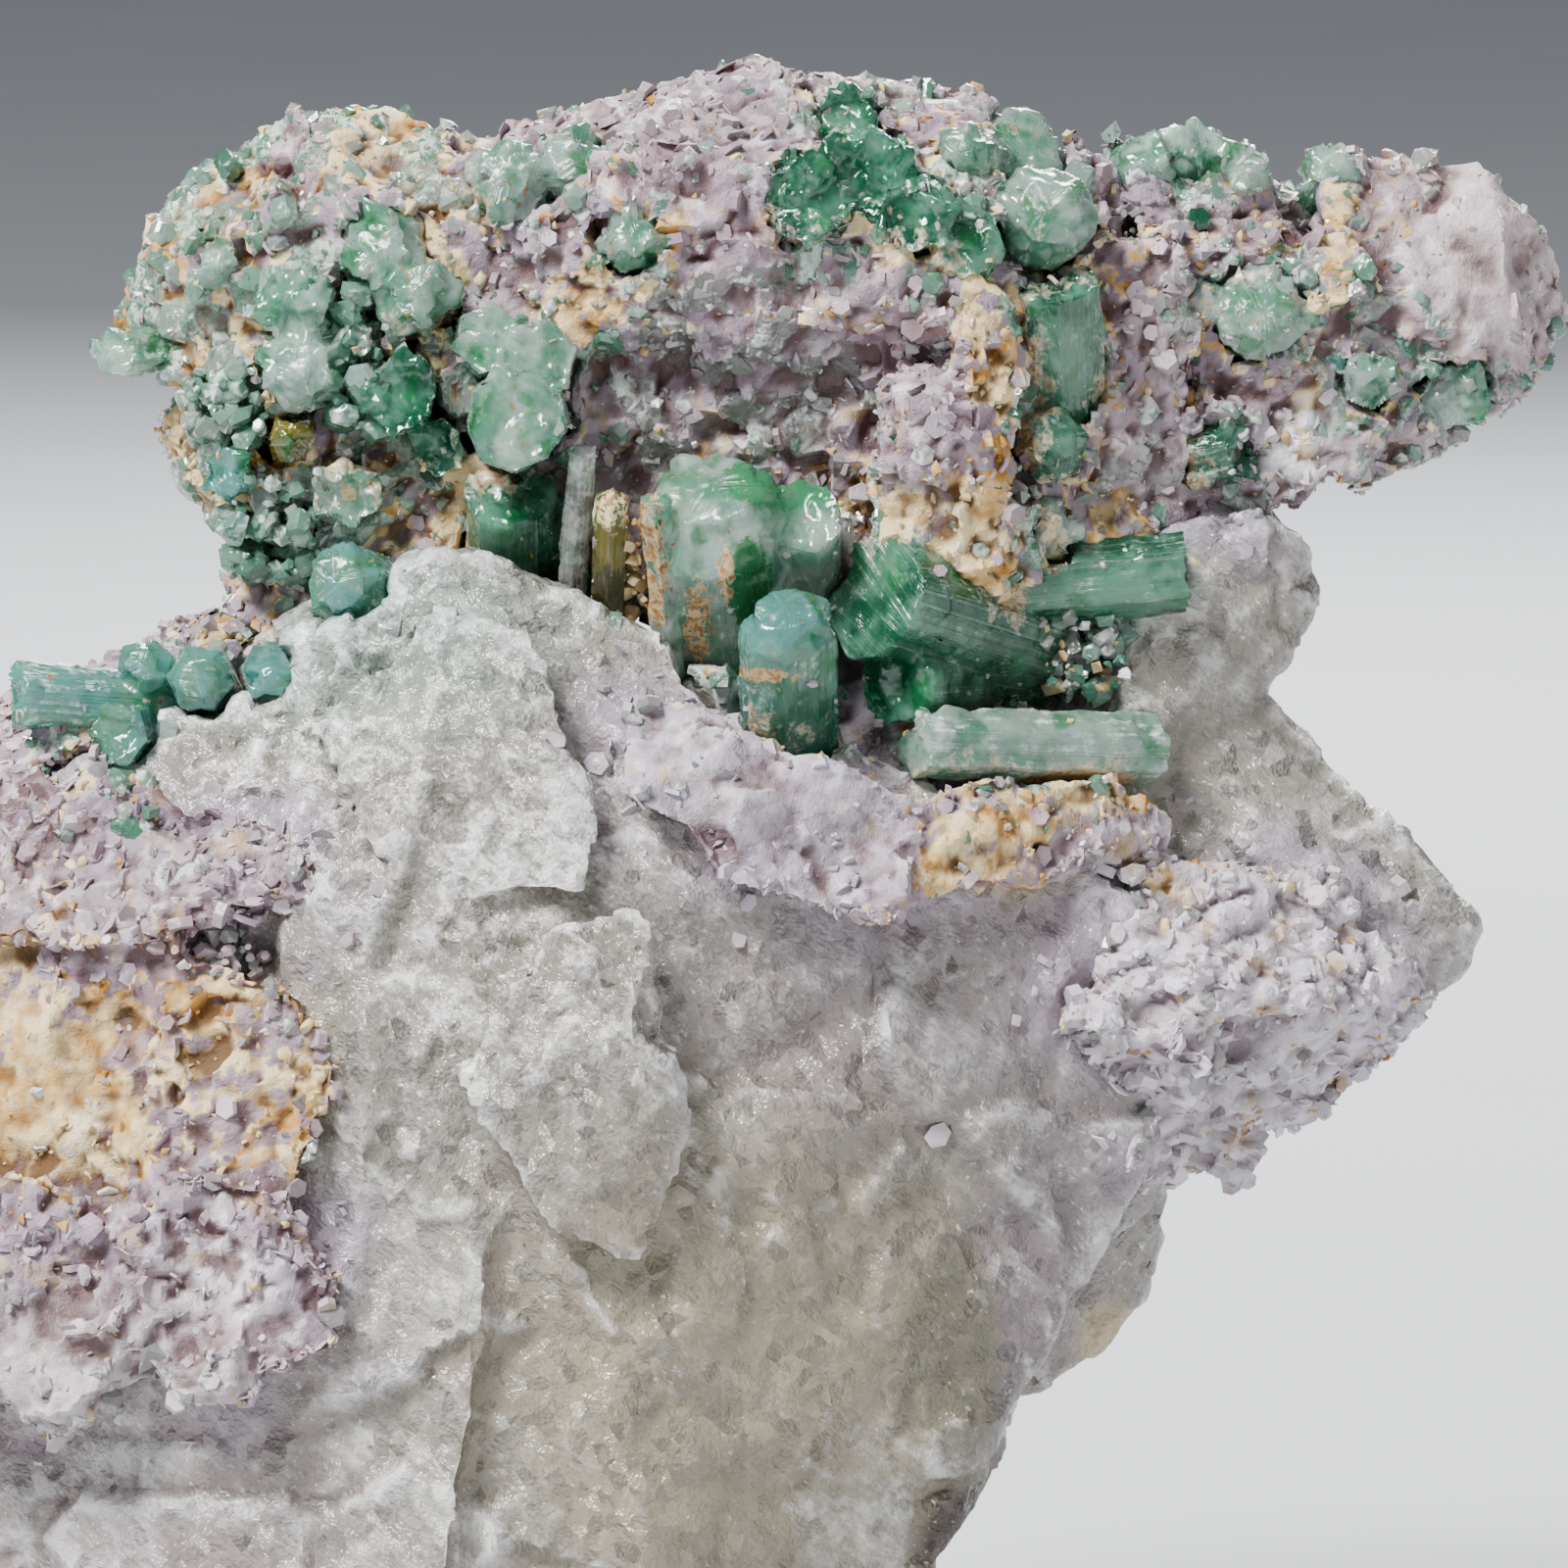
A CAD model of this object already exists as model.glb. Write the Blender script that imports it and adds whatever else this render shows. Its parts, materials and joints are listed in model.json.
"""The looks of a tourmaline crystal cluster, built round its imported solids.

Green tourmaline prisms stand in a crown of lilac lepidolite and buff clay over a block of milky quartz.
Everything is in metres, +Z up, with the show face towards -Y, except where a name or a note says millimetres.
"""

import json
import math
import bmesh
import bpy
import numpy as np
from bpy.props import FloatProperty, FloatVectorProperty, IntProperty, PointerProperty
from mathutils import Matrix, Quaternion, Vector, noise
from mathutils.bvhtree import BVHTree

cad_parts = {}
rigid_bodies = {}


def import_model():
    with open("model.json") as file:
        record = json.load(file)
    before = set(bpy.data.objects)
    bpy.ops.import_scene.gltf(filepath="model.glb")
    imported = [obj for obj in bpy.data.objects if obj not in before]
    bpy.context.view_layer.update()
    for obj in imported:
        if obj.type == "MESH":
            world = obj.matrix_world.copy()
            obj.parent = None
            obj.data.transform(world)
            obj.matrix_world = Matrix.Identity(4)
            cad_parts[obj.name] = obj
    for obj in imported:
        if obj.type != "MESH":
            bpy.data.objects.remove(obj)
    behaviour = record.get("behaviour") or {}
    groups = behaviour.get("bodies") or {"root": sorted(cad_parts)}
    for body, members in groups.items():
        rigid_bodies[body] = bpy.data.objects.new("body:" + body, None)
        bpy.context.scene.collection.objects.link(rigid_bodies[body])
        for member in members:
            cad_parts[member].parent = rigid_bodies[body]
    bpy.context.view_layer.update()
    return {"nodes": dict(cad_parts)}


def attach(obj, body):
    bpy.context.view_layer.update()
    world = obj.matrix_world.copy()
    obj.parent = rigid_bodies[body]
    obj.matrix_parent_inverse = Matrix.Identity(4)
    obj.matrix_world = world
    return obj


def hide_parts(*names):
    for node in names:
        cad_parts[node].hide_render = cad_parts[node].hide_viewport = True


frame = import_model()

bl_info = {
    "name": "Tourmaline crystal cluster",
    "version": (1, 0, 0),
    "blender": (4, 5, 0),
    "location": "3D View > Sidebar > Specimen",
    "description": "Dresses a mineral specimen: quartz, lepidolite, clay, tourmaline and the stage",
    "category": "Add Mesh",
}

MM = 0.001

# Lengths in millimetres.
FOOT = 0.3  # below this the quartz keeps its flat foot
DEEPEST = 0.6  # wear goes no deeper into a crystal
QUARTZ_WELD = 0.5  # how far the quartz swells towards a neighbour that it touches
MATRIX_WELD = 0.4  # the same for mica and clay
WELD_FADE = 0.9  # how soon that fades with the gap
RISE = 0.3  # how far mica and clay stand out of their solids
HUG = 0.8  # a mass keeps its fillet up to this near a crystal
BURIED = 0.25  # a core this far out of a mass takes less relief
BURIED_FADE = 0.3  # and this much further out, none
CORE = 1.2  # how deep inside a crystal its hidden core stays
NEARLY = 0.5  # a crystal this near a mass stands in it
REACH = 4.0  # past this a neighbour leaves nothing
SEAM = 0.7  # how soon one stone's crust gives way to the next one's
LIFT = 0.9  # how far out of its stone a grain looks around
OUTLOOK = 5.0  # a grain can be seen if this much is clear in front of it

# Indices of refraction.
QUARTZ_IOR = 1.54
TOURMALINE_IOR = 1.63
RIND_IOR = 1.6
DULL_IOR = 1.5  # mica, clay and the floor

# Angles in degrees, past which an edge is shown sharp.
STONE_EDGE = 38
GEM_EDGE = 28
CRUMB_EDGE = 60

MIDDLE = Vector((0.5, 0.5, 0.5))
FORWARD = Vector((0, -1, 0))
INWARD = Vector((0, 1, 0))
UP = Vector((0, 0, 1))
SHEET_DIP = math.radians(24)  # how the mica's sheets dip
SHEET_RUN = Vector((math.cos(SHEET_DIP), math.sin(SHEET_DIP)))  # the same as a direction in x and z


def paint(red, green, blue):
    """An 8-bit display colour as the linear numbers that a shader takes."""
    shares = [channel / 255 for channel in (red, green, blue)]
    return tuple(s / 12.92 if s <= 0.04045 else ((s + 0.055) / 1.055) ** 2.4 for s in shares)


# ------------------------------------------------------------------ settings


def length(name, description, default):
    return FloatProperty(name=name, description=description, default=default, unit="LENGTH", min=0.0)


def colour(name, description, default):
    return FloatVectorProperty(name=name, description=description, default=default, subtype="COLOR", size=3)


def watts(name, description, default):
    return FloatProperty(name=name, description=description, default=default, subtype="POWER", min=0.0)


def slant(name, description, default):
    return FloatProperty(name=name, description=description, default=default, subtype="ANGLE")


class QuartzSettings(bpy.types.PropertyGroup):
    voxel: length("Voxel", "Spacing of the quartz's mesh", 0.42 * MM)
    clear: colour("Clear", "Colour of the see-through quartz", paint(178, 171, 161))
    frost: colour("Frost", "Colour of the white veils and bruised breaks", paint(230, 229, 227))


class MatrixSettings(bpy.types.PropertyGroup):
    voxel: length("Voxel", "Spacing of the mesh of mica and clay", 0.33 * MM)
    fillet: length("Fillet", "Half the width of the gaps that close between two masses", 0.5 * MM)
    lilac: colour("Lilac", "Colour of fresh mica", paint(178, 160, 174))
    pearl: colour("Pearl", "Colour of mica that faces the light", paint(230, 222, 228))
    shade: colour("Shade", "Colour of mica in the hollows", paint(104, 78, 76))
    cream: colour("Cream", "Colour of the pale clay", paint(240, 219, 174))
    ochre: colour("Ochre", "Colour of the iron stain", paint(202, 150, 78))
    umber: colour("Umber", "Colour of the pits", paint(92, 58, 32))


class TourmalineSettings(bpy.types.PropertyGroup):
    spacing: length("Spacing", "Longest edge in the crystals' mesh", 0.32 * MM)
    deep: colour("Deep", "Darkest green", paint(38, 112, 82))
    mint: colour("Mint", "Common green", paint(120, 178, 150))
    pale: colour("Pale", "Washed-out green", paint(198, 220, 208))
    cyan: colour("Cyan", "Blue-green of the left ledge", paint(122, 186, 178))
    olive: colour("Olive", "Brown-green rods", paint(116, 108, 34))
    lilac: colour("Grey lilac", "Grey-lilac rods", paint(176, 172, 172))


class CrustSettings(bpy.types.PropertyGroup):
    cover: FloatProperty(name="Cover", description="Grains on each square millimetre", default=3.2, min=0.0)
    flake: length("Flake", "Radius of a common mica flake", 0.46 * MM)
    chip: length("Chip", "Radius of a common green chip", 0.52 * MM)
    glass: length("Glass", "Radius of a common clear grain", 0.5 * MM)
    crumb: length("Crumb", "Radius of a common clay crumb", 0.32 * MM)
    glass_colour: colour("Glass colour", "Colour of the clear grains", paint(196, 200, 194))


class StageSettings(bpy.types.PropertyGroup):
    floor: length("Floor", "Width of the floor", 9.0)
    floor_colour: colour("Floor colour", "Colour of the floor", paint(206, 208, 210))
    distance: length("Distance", "From the camera to the specimen", 600 * MM)
    width: length("Width", "What the camera sees across at the specimen", 72 * MM)
    elevation: slant("Elevation", "How far the camera looks down", math.radians(6))
    key: watts("Key light", "Power of the main light", 13.0)
    fill: watts("Fill light", "Power of the fill light", 1.2)
    rim: watts("Rim light", "Power of the light from behind", 6.0)


class SpecimenSettings(bpy.types.PropertyGroup):
    quartz: PointerProperty(type=QuartzSettings)
    matrix: PointerProperty(type=MatrixSettings)
    tourmaline: PointerProperty(type=TourmalineSettings)
    crust: PointerProperty(type=CrustSettings)
    stage: PointerProperty(type=StageSettings)
    seed: IntProperty(name="Seed", description="Start of every random draw", default=7)


# ------------------------------------------------------------------ shader maths


class Field:
    """A socket that carries a number over a surface. Arithmetic on it adds Math nodes."""

    def __init__(self, finish, socket):
        self.finish = finish
        self.socket = socket

    def maths(self, operation, first, second):
        return self.finish.node("ShaderNodeMath", {"operation": operation}, {0: first, 1: second})

    def __add__(self, other):
        return self.maths("ADD", self, other)

    def __sub__(self, other):
        return self.maths("SUBTRACT", self, other)

    def __rsub__(self, other):
        return self.maths("SUBTRACT", other, self)

    def __mul__(self, other):
        return self.maths("MULTIPLY", self, other)

    __radd__ = __add__
    __rmul__ = __mul__

    def most(self, other):
        return self.maths("MAXIMUM", self, other)

    def step(self, low, high, start=0.0, end=1.0):
        """Goes smoothly from start to end while this field goes from low to high."""
        settings = {"interpolation_type": "SMOOTHSTEP"}
        values = {0: self, 1: low, 2: high, 3: start, 4: end}
        return self.finish.node("ShaderNodeMapRange", settings, values)


class Finish:
    """A procedural material: its nodes are added by calls, and its patterns lie on Object coordinates."""

    def __init__(self, name):
        self.material = bpy.data.materials.new(name)
        self.material.use_nodes = True
        self.tree = self.material.node_tree
        self.tree.nodes.clear()
        self.place = self.node("ShaderNodeTexCoord", out="Object")

    def node(self, kind, settings=None, values=None, out=0):
        """Adds a node, sets its settings, then its sockets, and returns one output as a Field."""
        made = self.tree.nodes.new(kind)
        for key, value in (settings or {}).items():
            setattr(made, key, value)
        for key, value in (values or {}).items():
            if isinstance(value, Field):
                self.tree.links.new(value.socket, made.inputs[key])
            elif isinstance(value, tuple) and len(value) == 3 and made.inputs[key].type == "RGBA":
                made.inputs[key].default_value = (*value, 1.0)
            else:
                made.inputs[key].default_value = value
        return Field(self, made.outputs[out])

    def vector(self, operation, first, second=(0, 0, 0), out=0):
        return self.node("ShaderNodeVectorMath", {"operation": operation}, {0: first, 1: second}, out)

    def drawn_out(self, stretch, turn=(0, 0, 0)):
        """Object coordinates, turned and then pulled out along each axis, so that a pattern is too."""
        if stretch == (1, 1, 1):
            return self.place
        values = {"Vector": self.place, "Rotation": turn, "Scale": stretch}
        return self.node("ShaderNodeMapping", {"vector_type": "TEXTURE"}, values)

    def noise(self, size, detail=3.0, roughness=0.55, stretch=(1, 1, 1), turn=(0, 0, 0)):
        """Cloudy noise from 0 to 1 with lumps of the size given in millimetres."""
        values = {"Vector": self.drawn_out(stretch, turn), "Scale": 1 / (size * MM), "Detail": detail}
        return self.node("ShaderNodeTexNoise", None, {**values, "Roughness": roughness})

    def glitter(self, size, amount):
        """A normal that tilts its own way in each cell, of a size in millimetres, as cleavage faces do."""
        values = {"Vector": self.place, "Scale": 1 / (size * MM)}
        cells = self.node("ShaderNodeTexVoronoi", None, values, "Color")
        tilt = self.vector("SUBTRACT", cells, tuple(MIDDLE))
        true = self.node("ShaderNodeNewGeometry", out="Normal")
        leaning = self.vector("ADD", true, self.vector("MULTIPLY", tilt, (amount, amount, amount)))
        return self.vector("NORMALIZE", leaning)

    def spot(self, at, radii, soft=0.5):
        """1 inside an egg-shaped place given in millimetres, and 0 outside it, with a soft edge."""
        away = self.vector("SUBTRACT", self.place, tuple(c * MM for c in at))
        scaled = self.vector("MULTIPLY", away, tuple(1 / (r * MM) for r in radii))
        return self.vector("LENGTH", scaled, out="Value").step(1 - soft, 1 + soft, 1, 0)

    def attribute(self, name):
        """A number that a mesh keeps for each vertex or corner."""
        return self.node("ShaderNodeAttribute", {"attribute_name": name}, None, "Fac")

    def mix(self, factor, first, second):
        """A colour between two others."""
        return self.node("ShaderNodeMix", {"data_type": "RGBA"}, {0: factor, 6: first, 7: second}, 2)

    def bump(self, height, depth, strength=1.0, over=None):
        """A normal that shows a height of 0 to 1 as relief of the depth given in millimetres."""
        values = {"Height": height, "Distance": depth * MM, "Strength": strength}
        if over:
            values["Normal"] = over
        return self.node("ShaderNodeBump", None, values)

    def surface(self, tone, roughness, ior=DULL_IOR, normal=None, more=None):
        """A Principled shader, with more of its sockets by name."""
        values = {"Base Color": tone, "Roughness": roughness, "IOR": ior, **(more or {})}
        if normal:
            values["Normal"] = normal
        return self.node("ShaderNodeBsdfPrincipled", {"subsurface_method": "BURLEY"}, values)

    def blend(self, factor, first, second):
        """One shader over another."""
        return self.node("ShaderNodeMixShader", None, {0: factor, 1: first, 2: second})

    def done(self, surface):
        output = self.tree.nodes.new("ShaderNodeOutputMaterial")
        self.tree.links.new(surface.socket, output.inputs["Surface"])
        return self.material


# ------------------------------------------------------------------ mesh helpers


def link(name, mesh, material):
    """Puts a mesh in the scene as a piece with one material."""
    piece = bpy.data.objects.new(name, mesh)
    bpy.context.scene.collection.objects.link(piece)
    mesh.materials.clear()
    mesh.materials.append(material)
    return piece


def mesh_of(shape, name="shape"):
    """Ends a bmesh as a mesh."""
    mesh = bpy.data.meshes.new(name)
    shape.to_mesh(mesh)
    shape.free()
    return mesh


def merged_copy(node):
    """A copy of a CAD node's mesh, with its loose triangles joined, as a bmesh."""
    shape = bmesh.new()
    shape.from_mesh(frame["nodes"][node].data)
    bmesh.ops.remove_doubles(shape, verts=shape.verts, dist=1e-6)
    return shape


def remeshed(shape, voxel):
    """An even mesh of small quads over a bmesh, which is used up."""
    rough = mesh_of(shape)
    holder = bpy.data.objects.new("rough", rough)
    bpy.context.scene.collection.objects.link(holder)
    grid = holder.modifiers.new("Remesh", "REMESH")
    grid.mode = "VOXEL"
    grid.voxel_size = voxel
    mesh = bpy.data.meshes.new_from_object(holder.evaluated_get(bpy.context.evaluated_depsgraph_get()))
    bpy.data.objects.remove(holder)
    bpy.data.meshes.remove(rough)
    return mesh


def points_of(mesh):
    points = np.empty(len(mesh.vertices) * 3, np.float32)
    mesh.vertices.foreach_get("co", points)
    return points.reshape(-1, 3)


def normals_of(mesh):
    normals = np.empty(len(mesh.vertices) * 3, np.float32)
    mesh.vertices.foreach_get("normal", normals)
    return normals.reshape(-1, 3)


def area_of(mesh):
    """A mesh's skin in square millimetres."""
    return sum(face.area for face in mesh.polygons) / MM**2


def raised(mesh, heights):
    """Moves every vertex out along its normal by its height in millimetres, and never below the floor."""
    points = points_of(mesh) + normals_of(mesh) * heights[:, None] * MM
    points[:, 2] = np.maximum(points[:, 2], 0.0)
    mesh.vertices.foreach_set("co", points.astype(np.float32).ravel())
    mesh.update()


def note(mesh, name, values, domain="POINT"):
    """Keeps a number for each vertex or corner, for a material to read."""
    layer = mesh.attributes.new(name, "FLOAT", domain)
    layer.data.foreach_set("value", np.asarray(values, np.float32))


def ridges(mesh, rounds=4):
    """Above 0 on ridges and below 0 in hollows, in millimetres."""
    points = points_of(mesh)
    edges = np.empty(len(mesh.edges) * 2, np.int32)
    mesh.edges.foreach_get("vertices", edges)
    a, b = edges.reshape(-1, 2).T
    count = len(points)
    ways = np.maximum(np.bincount(np.concatenate((a, b)), minlength=count), 1)
    even = points.astype(float)
    for _ in range(rounds):
        sums = [np.bincount(a, even[b, k], count) + np.bincount(b, even[a, k], count) for k in range(3)]
        even = np.stack(sums, 1) / ways[:, None]
    return ((points - even) * normals_of(mesh)).sum(axis=1) / MM


def facets(p, size, seed, soft=0.12):
    """A broken skin at p, of grains with planes tilted their own way: its height, and the grain's draw."""
    q = p / size + Vector((seed, -seed, 2.7 * seed))
    distances, cells = noise.voronoi(q)
    first, second = (
        2 * (q - cell).dot(noise.cell_vector(cell * 7.3) - MIDDLE) + 0.6 * (noise.cell(cell * 3.1) - 0.5)
        for cell in cells[:2]
    )
    part = min(1.0, 0.5 + (distances[1] - distances[0]) / (2 * soft))
    return second + (first - second) * part, noise.cell(cells[0] * 5.7)


def cloud(p, size, seed):
    """Soft noise between -1 and 1."""
    return noise.noise(p / size + Vector((seed, seed, -seed)))


def smoothed(mesh, degrees):
    """Smooth faces, with edges sharper than the angle left sharp."""
    mesh.shade_smooth()
    mesh.set_sharp_from_angle(angle=math.radians(degrees))
    return mesh


def turned_to(direction, spin):
    """A turn that stands +Z along the direction, after a spin about +Z."""
    return (direction.to_track_quat("Z", "Y") @ Quaternion((0, 0, 1), spin)).to_matrix().to_4x4()


# ------------------------------------------------------------------ the crust's plan

KINDS = ("bare", "flake", "glass", "mint", "teal", "crumb")


def mix(**parts):
    """How much each kind of grain counts, in the order of KINDS."""
    return np.array([parts.get(kind, 0.0) for kind in KINDS])


# What grows on each stone away from the show face.
STONES = {
    "quartz_block": mix(bare=60, flake=0.5, crumb=0.5),
    "lepidolite_crown": mix(bare=0.5, flake=3.8, glass=2.2, mint=0.25, crumb=0.8),
    "lepidolite_arm": mix(bare=0.5, flake=3, glass=1.6, mint=0.5, teal=0.2, crumb=0.6),
    "lepidolite_saddle": mix(bare=5, flake=2.5, glass=0.5, crumb=0.3),
    "lepidolite_wedge": mix(bare=1.2, flake=3.2, glass=0.8, crumb=0.4),
    "lepidolite_shoulder": mix(bare=0.8, flake=3.5, glass=0.5, crumb=0.7),
    "lepidolite_skirt": mix(bare=1, flake=3.5, glass=0.3, crumb=0.5),
    "clay_crown": mix(bare=0.3, flake=0.3, glass=3.8, mint=3.2, teal=0.8, crumb=0.9),
    "clay_left": mix(bare=2, flake=1, glass=0.3, crumb=3),
}
OTHER_CLAY = mix(bare=1, flake=0.4, glass=0.5, crumb=3)
GEM = mix(bare=24)

# The masses of mica and clay that are grown together, each made as one piece: how wide a gap in it closes,
# how far it splits into sheets, and its nodes.
MASSES = {
    "crown": (1.0, 0.0, ("lepidolite_crown", "clay_crown", "clay_pocket", "clay_column")),
    "arm": (1.0, 0.0, ("lepidolite_arm",)),
    "left": (1.5, 0.15, ("lepidolite_shoulder", "clay_left", "lepidolite_skirt")),
    "saddle": (1.0, 0.3, ("lepidolite_saddle", "clay_band")),
    "wedge": (1.0, 1.0, ("lepidolite_wedge",)),
}

# Places on the show face, in millimetres: x, z, radius, and what grows there.
PATCHES = (
    (-13.5, 77.8, 2.8, mix(bare=2, crumb=6)),
    (-18.0, 76.9, 1.4, mix(flake=6)),
    (-15.3, 73.2, 3.4, mix(glass=8, mint=2)),
    (-23.0, 71.8, 1.6, mix(crumb=6, glass=1, flake=1)),
    (-25.4, 68.0, 1.4, mix(crumb=6)),
    (-19.6, 68.4, 4.4, mix(glass=9, mint=9)),
    (-14.6, 69.0, 3.6, mix(glass=8, mint=6, flake=1)),
    (-12.6, 70.4, 3.4, mix(mint=5, glass=3, flake=1)),
    (-9.0, 72.4, 2.8, mix(flake=4, glass=4)),
    (-13.5, 65.0, 3.6, mix(teal=6, mint=2, glass=1)),
    (-23.6, 63.4, 1.8, mix(crumb=6, flake=1)),
    (-20.3, 60.6, 2.8, mix(teal=4, mint=5)),
    (-16.8, 58.8, 2.8, mix(glass=5, mint=3)),
    (-19.3, 56.2, 2.3, mix(crumb=7)),
    (-11.5, 59.5, 2.4, mix(glass=3, crumb=3, flake=2)),
    (-5.8, 69.6, 2.6, mix(bare=1, crumb=6)),
    (-6.3, 73.2, 2.2, mix(flake=6, glass=1)),
    (-2.6, 71.6, 2.0, mix(glass=6, mint=1)),
    (0.0, 77.0, 3.8, mix(bare=2, flake=7, crumb=0.6)),
    (0.0, 69.5, 3.0, mix(glass=6, crumb=3, flake=1)),
    (-1.6, 64.8, 3.4, mix(glass=12)),
    (4.4, 64.6, 3.8, mix(glass=12, flake=1)),
    (6.3, 72.6, 2.6, mix(teal=5, glass=2, mint=2)),
    (11.2, 65.6, 3.0, mix(flake=9, bare=1)),
    (13.6, 66.2, 1.5, mix(crumb=8)),
    (12.6, 58.9, 2.6, mix(bare=3, crumb=5)),
    (7.4, 60.8, 2.4, mix(crumb=3, glass=5)),
    (9.2, 77.0, 2.6, mix(crumb=3, glass=5)),
    (23.8, 75.4, 2.8, mix(teal=3, mint=5, glass=2)),
    (31.0, 73.4, 3.2, mix(crumb=12, bare=1)),
    (37.4, 72.4, 4.4, mix(bare=40, flake=2)),
    (32.0, 69.0, 3.6, mix(mint=4, glass=4, crumb=2)),
    (27.0, 70.6, 2.6, mix(glass=6, mint=3)),
    (33.5, 64.5, 3.2, mix(glass=5, mint=5, flake=2)),
    (28.2, 62.0, 2.0, mix(crumb=4, flake=4)),
    (20.6, 60.4, 2.4, mix(crumb=3, glass=4)),
    (24.7, 59.6, 2.8, mix(glass=4, flake=2, bare=2)),
    (15.7, 52.4, 4.2, mix(glass=7, mint=2, bare=2)),
    (19.0, 55.0, 3.0, mix(glass=5, mint=2, bare=3)),
    (0.0, 53.4, 2.0, mix(crumb=7)),
    (-4.0, 54.2, 1.8, mix(crumb=6, glass=2)),
    (-20.7, 53.8, 2.2, mix(glass=4, crumb=3, mint=1)),
    (-28.8, 48.3, 2.4, mix(crumb=4, flake=3)),
    (3.6, 48.8, 4.4, mix(bare=14, flake=3, glass=2)),
    (13.5, 44.7, 2.6, mix(bare=2, crumb=6)),
    (18.0, 43.8, 3.0, mix(flake=6, crumb=1, glass=1)),
    (19.3, 21.3, 1.5, mix(bare=20, crumb=40)),
    (-20.4, 45.6, 3.6, mix(flake=7, glass=1)),
    (-27.9, 41.1, 2.6, mix(crumb=5, flake=2)),
    (-27.9, 36.2, 3.6, mix(bare=10, crumb=2)),
    (-22.0, 35.7, 3.4, mix(crumb=5, flake=4, glass=1)),
    (-16.6, 39.3, 2.0, mix(glass=3, flake=4)),
    (-22.5, 26.7, 3.8, mix(flake=8)),
    (-27.9, 31.2, 2.6, mix(crumb=6, glass=1)),
    (-20.2, 21.8, 3.2, mix(bare=12, flake=2, glass=4)),
    (-28.2, 21.6, 3.6, mix(bare=10, flake=2, glass=5)),
)

# Hollows in the show face that grains fill, by mass: x, z and radius in millimetres, and kinds.
HOLLOWS = {
    "crown": (
        (-20.8, 64.9, 1.9, ("mint", "glass", "mint")),
        (-18.7, 59.0, 2.4, ("teal", "mint", "glass")),
        (-15.1, 68.0, 2.0, ("mint", "glass", "teal")),
        (-14.8, 65.0, 1.4, ("teal", "mint")),
        (-2.4, 59.2, 0.8, ("crumb",)),
        (-2.4, 57.6, 0.8, ("crumb",)),
        (-2.4, 56.0, 0.8, ("crumb",)),
        (10.6, 66.9, 1.2, ("glass", "flake")),
        (15.4, 61.2, 0.9, ("glass", "crumb")),
        (18.2, 53.2, 2.2, ("teal", "mint", "crumb", "glass")),
        (20.2, 72.7, 0.8, ("glass", "crumb")),
    ),
    "left": (
        (-21.8, 39.9, 1.5, ("flake", "glass", "crumb")),
        (-20.2, 40.6, 1.7, ("flake", "glass", "glass")),
    ),
    "wedge": ((19.6, 42.8, 1.4, ("flake", "glass")),),
}

# What each family leaves on whatever it touches, how soon that fades in millimetres, and how much it counts.
TOUCHES = {
    "lepidolite": (mix(flake=9, glass=2), 2.2, 2.0),
    "clay": (mix(crumb=9, glass=1), 1.1, 2.0),
    "tourmaline": (mix(glass=3, mint=2.5, crumb=2.5, flake=1), 0.9, 2.0),
    "quartz": (mix(glass=3, crumb=1.5), 0.8, 0.35),
}


# How the plan varies.
DRIFT = 1.3  # how strongly each kind comes and goes
DRIFT_SIZE = 4.5  # over how many millimetres
FRONT = 8  # patches lie on what is before this y, in millimetres
FRONT_FADE = 6
PATCH_CLEARS = 0.75  # how far a patch takes the place of what was there
TOUCH_CLEARS = 0.6  # and a neighbour's leavings


def tourmalines():
    return sorted(node for node in frame["nodes"] if node.startswith("tourmaline"))


def tree_of(nodes):
    """CAD solids as one tree, to find the nearest point on."""
    shape = bmesh.new()
    for node in nodes:
        shape.from_mesh(frame["nodes"][node].data)
    tree = BVHTree.FromBMesh(shape)
    shape.free()
    return tree


def gaps_to(tree, points):
    """How far each point is from the nearest point of a tree, all in millimetres, up to the reach."""
    found = (tree.find_nearest(Vector(p) * MM, REACH * MM)[3] for p in points)
    return np.array([REACH if gap is None else gap / MM for gap in found])


def own_mix(points, nodes):
    """What grows at each point of a piece made from CAD nodes, and how far it is clay."""
    rows = [STONES.get(node, OTHER_CLAY if node.startswith("clay") else GEM) for node in nodes]
    if len(nodes) == 1:
        return np.tile(rows[0], (len(points), 1)), np.full(len(points), float(nodes[0].startswith("clay")))
    near = np.stack([np.exp(-gaps_to(tree_of([node]), points) / SEAM) for node in nodes])
    near /= near.sum(axis=0)
    clays = [float(node.startswith("clay")) for node in nodes]
    return near.T @ np.array(rows), near.T @ np.array(clays)


def drift_at(p):
    """How far each kind of grain comes or goes at p, so that like grains keep together."""
    return [math.exp(DRIFT * cloud(p, DRIFT_SIZE, 20.0 + 7 * k)) for k in range(len(KINDS))]


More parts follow.
